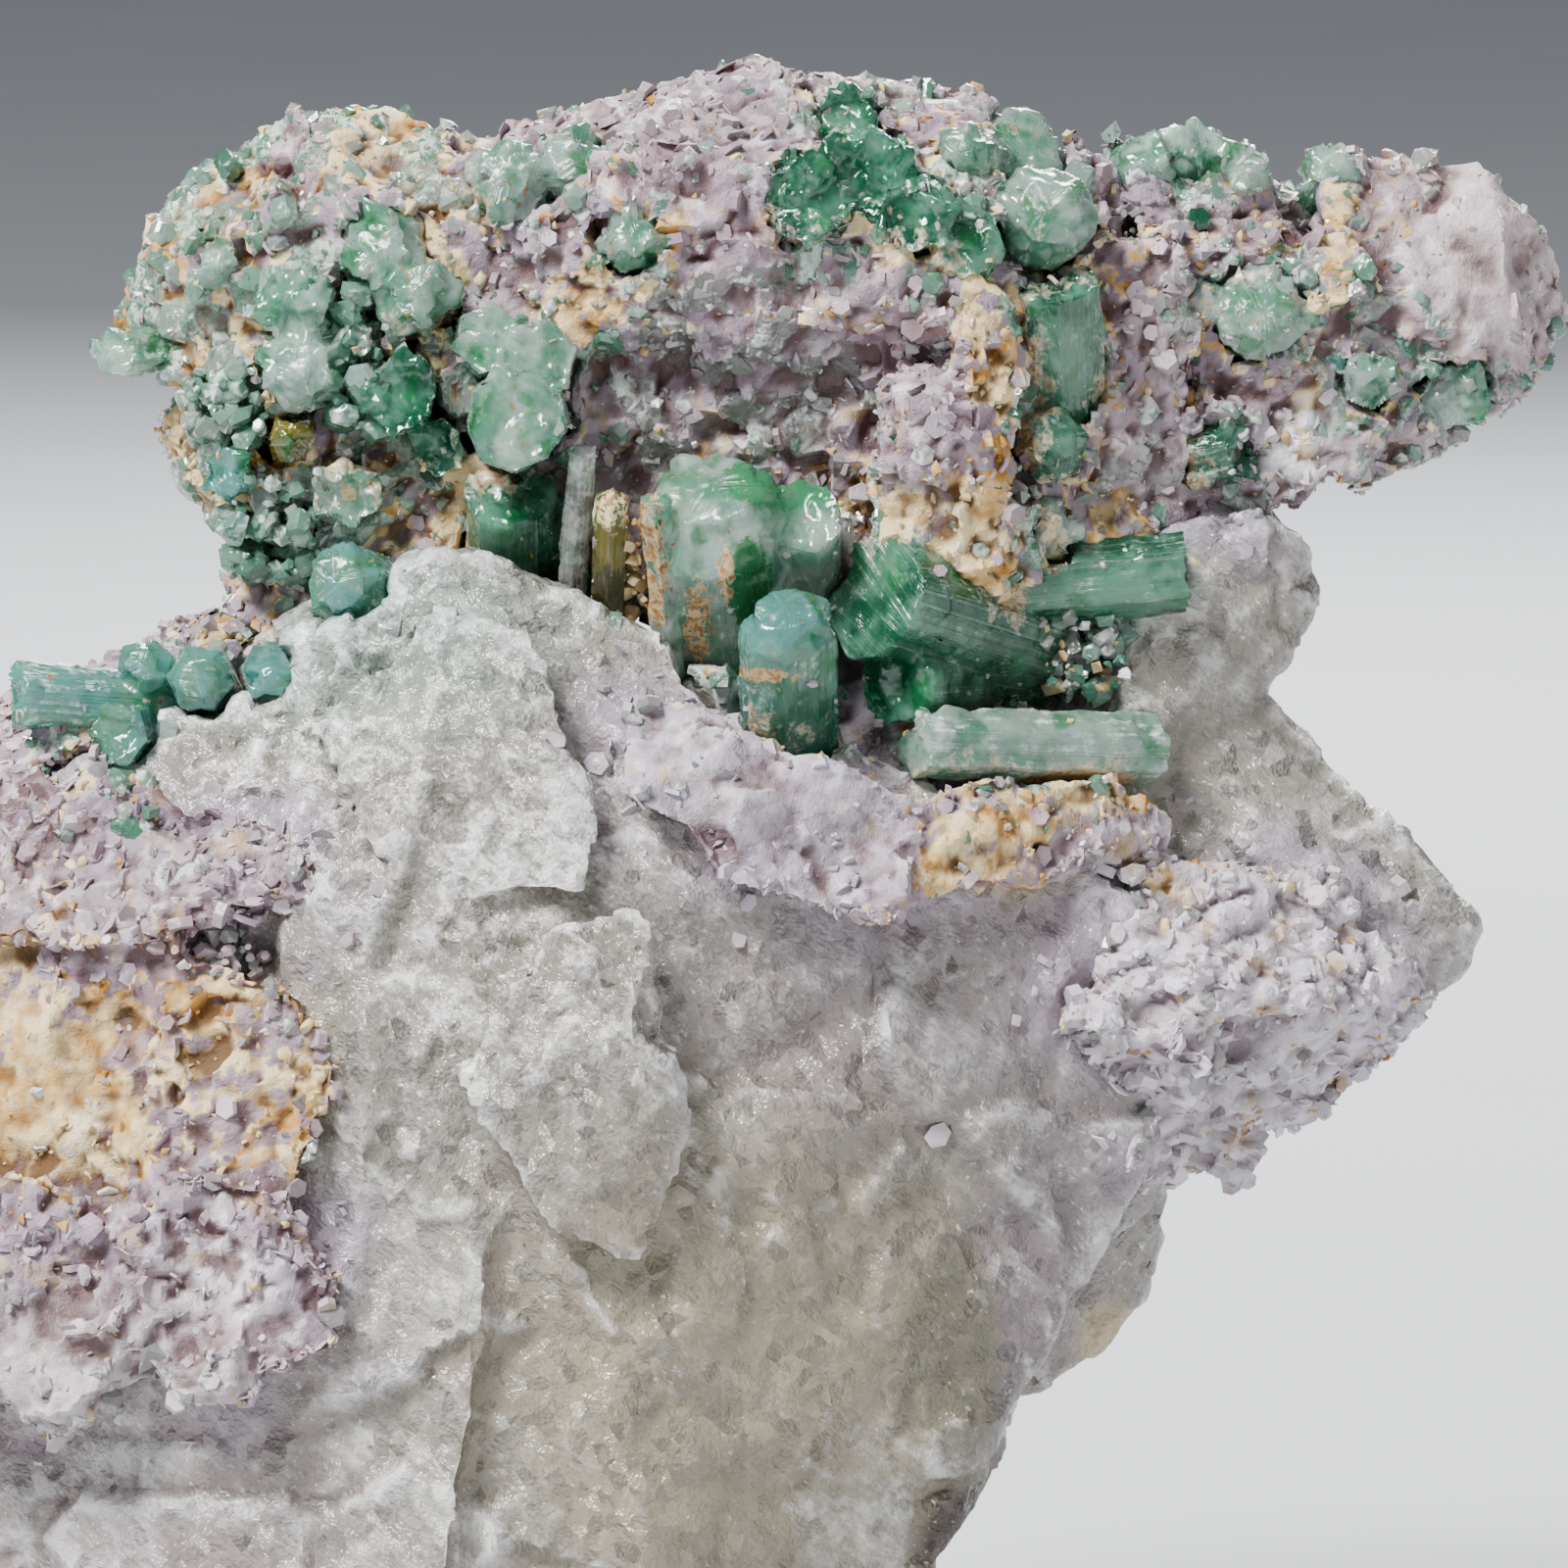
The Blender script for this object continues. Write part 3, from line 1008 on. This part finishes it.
class SPECIMEN_OT_crust(Piece, bpy.types.Operator):
    """Adds the flakes, chips, grains and crumbs that crust the stones"""

    bl_idname = "specimen.crust"
    bl_label = "Crust"

    def execute(self, context):
        specimen = context.scene.specimen
        settings = specimen.crust
        gems = specimen.tourmaline
        random = np.random.default_rng(specimen.seed)
        pearly = loose_finish("mica_flakes", mica_tone, specimen.matrix, 0.45)
        earthy = loose_finish("clay_crumbs", clay_tone, specimen.matrix, 0.05)
        glassy = (paint(192, 186, 188), settings.glass_colour[:], paint(214, 208, 210))
        clear = chip_finish("clear_grains", glassy, 0.6)
        mint = chip_finish("mint_chips", (gems.pale[:], gems.mint[:], gems.pale[:]), 0.5)
        teal = chip_finish("teal_chips", (gems.mint[:], gems.deep[:], gems.cyan[:]), 0.5)
        kinds = {
            "flake": (self.flakes(random), pearly, "lepidolite"),
            "glass": (self.shards(random, 12), clear, "quartz"),
            "mint": (self.shards(random, 14) + [self.chip(random)], mint, "tourmaline"),
            "teal": (self.shards(random, 14) + [self.chip(random)], teal, "tourmaline"),
            "crumb": (self.shards(random, 10), earthy, "clay"),
        }
        hidden = tree_of(frame["nodes"])
        pieces = context.scene.objects
        stones = [piece for piece in pieces if piece.name.startswith("skin_")]
        crystals = [piece for piece in pieces if piece.name.startswith("gem_")]
        groups = {piece.name.removeprefix("skin_"): ([piece], 1.0) for piece in stones}
        groups["crystals"] = (crystals, CRYSTAL_SCALE)
        shares = {"skin_quartz_block": QUARTZ_SHARE, **{piece.name: CRYSTAL_SHARE for piece in crystals}}
        for name, (hosts, scale) in groups.items():
            places = {kind: [] for kind in KINDS}
            for host in hosts:
                cover = settings.cover * shares.get(host.name, 1.0)
                self.scatter(host, settings, cover, scale, hidden, random, places)
            for hollow in HOLLOWS.get(name, ()):
                self.pile(hollow, settings, hidden, random, places)
            for kind, (shapes, finish, slot) in kinds.items():
                if len(places[kind]) > 0:
                    mesh = self.copies(shapes, places[kind], random)
                    if kind == "crumb":
                        mesh = smoothed(mesh, CRUMB_EDGE)
                    self.place(link(f"{kind}_on_{name}", mesh, finish), slot)
        return {"FINISHED"}

    def flakes(self, random):
        """Thin six-sided plates and thicker books, of radius 1."""
        shapes = []
        for depth, shrink in ((0.16, 0.94), (0.3, 0.9), (0.7, 0.97)):
            shape = bmesh.new()
            bmesh.ops.create_cone(shape, cap_ends=True, segments=6, radius1=1, radius2=shrink, depth=depth)
            for corner in list(shape.verts)[:2]:
                corner.co.xy *= random.uniform(0.6, 0.9)
            shapes.append(mesh_of(shape))
        return shapes

    def chip(self, random):
        """A short six-sided prism with a bevelled, slanting top, of radius 1."""
        shape = bmesh.new()
        bmesh.ops.create_cone(shape, cap_ends=True, segments=6, radius1=0.9, radius2=1, depth=1.6)
        top = max(shape.faces, key=lambda face: face.calc_center_median().z)
        bmesh.ops.inset_individual(shape, faces=[top], thickness=0.3, depth=0.28)
        lean = Vector(random.normal(0, 0.22, 3))
        for corner in shape.verts:
            if corner.co.z > 0:
                corner.co.z += lean.dot(corner.co)
        return mesh_of(shape)

    def shards(self, random, corners):
        """Angular grains of radius about 1: the hulls of a few scattered points."""
        shapes = []
        for _ in range(5):
            shape = bmesh.new()
            for _ in range(corners):
                shape.verts.new(Vector(random.normal(0, 1, 3)).normalized() * random.uniform(0.8, 1.05))
            bmesh.ops.convex_hull(shape, input=shape.verts)
            bmesh.ops.recalc_face_normals(shape, faces=shape.faces)
            shapes.append(mesh_of(shape))
        return shapes

    def scatter(self, host, settings, cover, scale, hidden, random, places):
        """Adds where each kind of grain stands on a piece, as a matrix each."""
        mesh = host.data
        points, normals = points_of(mesh), normals_of(mesh)
        plan = np.empty((len(KINDS), len(points)), np.float32)
        for kind, row in zip(KINDS, plan):
            mesh.attributes[kind].data.foreach_get("value", row)
        picks = random.integers(0, len(points), int(area_of(mesh) * cover))
        points, normals = points[picks], normals[picks]
        kinds = (plan.T[picks].cumsum(axis=1) < random.random(len(picks))[:, None]).sum(axis=1)
        for point, normal, index in zip(points, normals, kinds):
            point, normal = Vector(point), Vector(normal)
            kind = KINDS[min(index, len(KINDS) - 1)]
            if kind != "bare" and point.z > 2 * FOOT * MM and self.is_open(hidden, point, normal):
                places[kind].append(self.stand(kind, point, normal, settings, scale, random))

    def pile(self, hollow, settings, hidden, random, places):
        """Fills a hollow with grains, from just behind its rim inwards."""
        x, z, radius, kinds = hollow
        rim = []
        wide = RIM_SPREAD * radius
        for angle in np.linspace(0, 2 * math.pi, RIM_RAYS, endpoint=False):
            start = Vector((x + wide * math.cos(angle), RIM_START, z + wide * math.sin(angle)))
            hit = hidden.ray_cast(start * MM, INWARD)[0]
            if hit:
                rim.append(hit.y / MM)
        edge = sorted(rim)[len(rim) // 4]
        for _ in range(int(PILED * radius**2)):
            angle, away = random.uniform(0, 2 * math.pi), radius * math.sqrt(random.random())
            deep = edge + random.uniform(*PILE_DEPTHS)
            place = Vector((x + away * math.cos(angle), deep, z + away * math.sin(angle)))
            kind = kinds[random.integers(len(kinds))]
            places[kind].append(self.stand(kind, place * MM, FORWARD, settings, PILE_SCALE, random))

    def is_open(self, hidden, point, normal):
        """Whether a grain here could be seen: a way out, or a way up or forward, is clear."""
        start = point + normal * LIFT * MM
        ways = (normal, normal + FORWARD, normal + UP)
        return any(hidden.ray_cast(start, way.normalized(), OUTLOOK * MM)[0] is None for way in ways)

    def stand(self, kind, point, normal, settings, scale, random):
        """One grain's matrix: how it leans, how large it is, and how deep it sits."""
        draw = random.random()
        lean = Vector(random.normal(0, 1, 3))
        spin = random.uniform(0, math.pi)
        stretch = random.uniform(0.65, 1.0, 3)
        setting, least, spread, rarity, sinks, upright, sway, forward = GRAINS[kind]
        size = getattr(settings, setting) * (least + spread * draw**rarity) * scale
        sink = random.uniform(*sinks)
        if kind == "flake":
            stretch[2] = random.uniform(0.5, 1.2)
        facing = normal * upright + lean * sway + FORWARD * forward
        turn = turned_to(facing.normalized(), spin)
        sunk = Matrix.Translation(point - normal * size * sink)
        return sunk @ turn @ Matrix.Diagonal((*(stretch * size), 1))

    def copies(self, shapes, places, random):
        """One mesh of a copy of a shape at each place, with a number from 0 to 1 noted for each copy."""
        picks = random.integers(0, len(shapes), len(places))
        points, faces, tints, start = [], [], [], 0
        bases = [(points_of(shape), [tuple(face.vertices) for face in shape.polygons]) for shape in shapes]
        for place, pick in zip(places, picks):
            corners, sides = bases[pick]
            points.append(corners @ np.array(place.to_3x3()).T + np.array(place.translation))
            faces.extend(tuple(v + start for v in side) for side in sides)
            tints.append(np.full(len(corners), random.random()))
            start += len(corners)
        mesh = bpy.data.meshes.new("grains")
        mesh.from_pydata(np.concatenate(points), [], faces)
        note(mesh, "tint", np.concatenate(tints))
        return mesh


# Crystals that are broken or worn all over, so that their edges are lost.
WORN = set(
    "top_left middle_left deep_row shade_rod right_pale olive_fold left_teal left_mint left_dark left_cyan "
    "left_low left_edge left_pale arm_rounds arm_horn arm_chip arm_low arm_end".split()
)

# Which look each crystal has; the rest are mint.
LOOKS = {
    "deep": ("deep_row", "dark_mass", "right_column", "left_dark", "shade_rod", "under"),
    "pale": ("left_mint", "left_pale", "left_low", "left_edge", "right_pale", "lower_lateral"),
    "cyan": ("ledge", "ledge_small", "left_cyan", "cyan_lens", "stub"),
    "olive": ("olive_rod", "olive_fold"),
    "grey": ("grey_rod",),
}

FLAT = math.radians(2)  # faces that meet at less than this are one face of a prism
SLENDER = 1.4  # a face longer than this times the root of its area is a prism's side
MOST_CUTS = 7  # rounds of halving long edges
STRIPE = 0.09  # millimetres that a stripe goes in or out


class SPECIMEN_OT_tourmaline(Piece, bpy.types.Operator):
    """Adds the tourmaline prisms"""

    bl_idname = "specimen.tourmaline"
    bl_label = "Tourmaline"

    def execute(self, context):
        settings = context.scene.specimen.tourmaline
        finishes = self.finishes(settings)
        for node in tourmalines():
            short = node.removeprefix("tourmaline_")
            look = next((key for key, names in LOOKS.items() if short in names), "mint")
            mesh = self.crystal(node, settings.spacing)
            self.noted(mesh, plan_at(points_of(mesh) / MM, normals_of(mesh), [node])[0])
            self.place(link(f"gem_{short}", mesh, finishes[look]), "tourmaline", node)
        return {"FINISHED"}

    def finishes(self, settings):
        """The looks. Each coat or heart has its place and radii in millimetres and its colour."""
        deep, mint, pale = settings.deep[:], settings.mint[:], settings.pale[:]
        tan, cream, straw = paint(214, 186, 140), paint(238, 224, 180), paint(150, 140, 60)
        strips = (
            ((-1.7, -8, 57.6), (1.0, 6, 3.8), tan),
            ((0.6, -10, 54.8), (0.7, 5, 2.6), tan),
            ((1.9, -10, 57.6), (0.4, 5, 1.6), tan),
        )
        band = ((3.6, -12, 53.2), (1.5, 4, 0.35), tan)
        wedge = ((2.9, -9, 57.0), (1.0, 5, 2.2), paint(22, 140, 62))
        crest = ((4.2, -6, 61.4), (3, 6, 1.2), paint(84, 176, 120))
        foot = ((5.4, -12, 50.4), (2, 5, 2.4), paint(58, 138, 108))
        tip = ((-3.2, -9, 60.5), (1.3, 5, 0.9), cream)
        dark = ((-3.3, -9, 55), (1.4, 5, 2.8), paint(66, 62, 12))
        return {
            "deep": tourmaline_finish("deep_tourmaline", mint, deep, 0.3),
            "mint": tourmaline_finish("mint_tourmaline", pale, mint, 0.3, strips, (wedge, crest)),
            "pale": tourmaline_finish("pale_tourmaline", pale, mint, 0.45),
            "cyan": tourmaline_finish("cyan_tourmaline", settings.cyan[:], mint, 0.4, (band,), (foot,)),
            "olive": tourmaline_finish("olive_tourmaline", settings.olive[:], straw, 0.1, (tip,), (dark,)),
            "grey": tourmaline_finish("grey_tourmaline", settings.lilac[:], pale, 0.75),
        }

    def crystal(self, node, spacing):
        """A crystal's mesh, striped along its sides, with what its material reads."""
        shape = merged_copy(node)
        bmesh.ops.dissolve_limit(shape, angle_limit=FLAT, verts=shape.verts, edges=shape.edges)
        side_of = shape.faces.layers.int.new("side")
        ways = []
        for index, face in enumerate(shape.faces):
            edge = max(face.edges, key=lambda e: e.calc_length())
            run = (edge.verts[1].co - edge.verts[0].co).normalized()
            is_side = edge.calc_length() > SLENDER * math.sqrt(face.calc_area())
            ways.append((*run.cross(face.normal), float(not is_side)))
            face[side_of] = index
        for _ in range(MOST_CUTS):
            bmesh.ops.triangulate(shape, faces=[face for face in shape.faces if len(face.verts) > 4])
            long = [edge for edge in shape.edges if edge.calc_length() > spacing]
            if not long:
                break
            bmesh.ops.subdivide_edges(shape, edges=long, cuts=1, use_grid_fill=True)
        bmesh.ops.triangulate(shape, faces=shape.faces)
        mesh = mesh_of(shape)
        sides = np.empty(len(mesh.polygons), np.int32)
        mesh.attributes["side"].data.foreach_get("value", sides)
        way = np.array(ways)[np.repeat(sides, 3)]
        corners = np.empty(len(mesh.loops), np.int32)
        mesh.loops.foreach_get("vertex_index", corners)
        across = (points_of(mesh)[corners] * way[:, :3]).sum(axis=1) / MM
        note(mesh, "across", across, "CORNER")
        note(mesh, "tip", way[:, 3], "CORNER")
        self.wear(mesh, corners, across, way[:, 3], float(node.removeprefix("tourmaline_") in WORN))
        return smoothed(mesh, GEM_EDGE)

    def wear(self, mesh, corners, across, tip, worn):
        """Cuts stripes into the sides and breaks into the tips, and blunts a worn crystal all over."""
        points = points_of(mesh)
        stripes = np.array([noise.noise(Vector((a * 1.7, 3.0, 0.0))) for a in across]) * (1 - tip) * STRIPE
        count = np.maximum(np.bincount(corners, minlength=len(points)), 1)
        cut = np.bincount(corners, stripes, len(points)) / count
        blunt = np.bincount(corners, tip, len(points)) / count
        deep = 0.1 + 0.3 * blunt + 0.3 * worn
        heights = []
        for p, depth in zip(map(Vector, points / MM), deep):
            broken = facets(p, 1.5, 4.0, 0.05)[0] + 0.4 * facets(p, 0.7, 6.0, 0.08)[0]
            heights.append(depth * broken + (0.1 + 0.15 * worn) * cloud(p, 2.1, 3.0))
        raised(mesh, np.maximum(cut + heights, -DEEPEST))


AIM = Vector((4.5 * MM, 0, 47 * MM))  # where the camera and the lights point
LIGHTS = {  # where each stands, and its width
    "key": ((-0.4, -0.42, 0.72), 0.3),
    "fill": ((0.75, -0.75, 0.3), 0.9),
    "rim": ((0.1, 0.62, 0.5), 0.4),
}
SKY = {"Color": (0.9, 0.94, 1.0, 1.0), "Strength": 0.24}
FLOOR_SHADE = paint(196, 198, 202)


class SPECIMEN_OT_stage(bpy.types.Operator):
    """Adds the floor, the lights and the camera"""

    bl_idname = "specimen.stage"
    bl_label = "Stage"

    def execute(self, context):
        settings = context.scene.specimen.stage
        self.add_floor(settings)
        self.add_camera(context, settings)
        for name, (place, size) in LIGHTS.items():
            self.add_light(context, name, place, size, getattr(settings, name))
        world = bpy.data.worlds.new("studio")
        world.use_nodes = True
        for key, value in SKY.items():
            world.node_tree.nodes["Background"].inputs[key].default_value = value
        context.scene.world = world
        context.scene.view_settings.look = "AgX - Medium High Contrast"
        return {"FINISHED"}

    def add_floor(self, settings):
        shape = bmesh.new()
        bmesh.ops.create_grid(shape, x_segments=1, y_segments=1, size=settings.floor / 2)
        finish = Finish("pale_floor")
        shade = finish.noise(60, 2, 0.5).step(0.2, 0.8, 0.0, 0.3)
        tone = finish.mix(shade, settings.floor_colour[:], FLOOR_SHADE)
        look = finish.done(finish.surface(tone, 0.85))
        link("floor", mesh_of(shape, "floor"), look)

    def add_camera(self, context, settings):
        data = bpy.data.cameras.new("camera")
        data.lens = data.sensor_width * settings.distance / settings.width
        data.clip_end = 50
        away = Vector((0, -math.cos(settings.elevation), math.sin(settings.elevation)))
        camera = bpy.data.objects.new("camera", data)
        camera.location = AIM + away * settings.distance
        camera.rotation_euler = (-away).to_track_quat("-Z", "Y").to_euler()
        context.scene.collection.objects.link(camera)
        context.scene.camera = camera

    def add_light(self, context, name, place, size, power):
        data = bpy.data.lights.new(name, "AREA")
        data.size = size
        data.energy = power
        light = bpy.data.objects.new(name, data)
        light.location = place
        light.rotation_euler = (AIM - Vector(place)).to_track_quat("-Z", "Y").to_euler()
        context.scene.collection.objects.link(light)


class SPECIMEN_PT_panel(bpy.types.Panel):
    """Lists the specimen's operators and settings"""

    bl_idname = "SPECIMEN_PT_panel"
    bl_label = "Specimen"
    bl_space_type = "VIEW_3D"
    bl_region_type = "UI"
    bl_category = "Specimen"

    def draw(self, context):
        specimen = context.scene.specimen
        self.layout.prop(specimen, "seed")
        for name in STEPS:
            box = self.layout.box()
            box.operator(f"specimen.{name}")
            group = getattr(specimen, name)
            for prop in group.bl_rna.properties:
                if prop.identifier not in ("rna_type", "name"):
                    box.prop(group, prop.identifier)


STEPS = ("quartz", "matrix", "tourmaline", "crust", "stage")
CLASSES = (
    QuartzSettings,
    MatrixSettings,
    TourmalineSettings,
    CrustSettings,
    StageSettings,
    SpecimenSettings,
    SPECIMEN_OT_quartz,
    SPECIMEN_OT_matrix,
    SPECIMEN_OT_crust,
    SPECIMEN_OT_tourmaline,
    SPECIMEN_OT_stage,
    SPECIMEN_PT_panel,
)


def register():
    for cls in CLASSES:
        bpy.utils.register_class(cls)
    bpy.types.Scene.specimen = PointerProperty(type=SpecimenSettings)


def unregister():
    del bpy.types.Scene.specimen
    for cls in reversed(CLASSES):
        bpy.utils.unregister_class(cls)


def main():
    register()
    for name in STEPS:
        getattr(bpy.ops.specimen, name)()


if __name__ == "__main__":
    main()
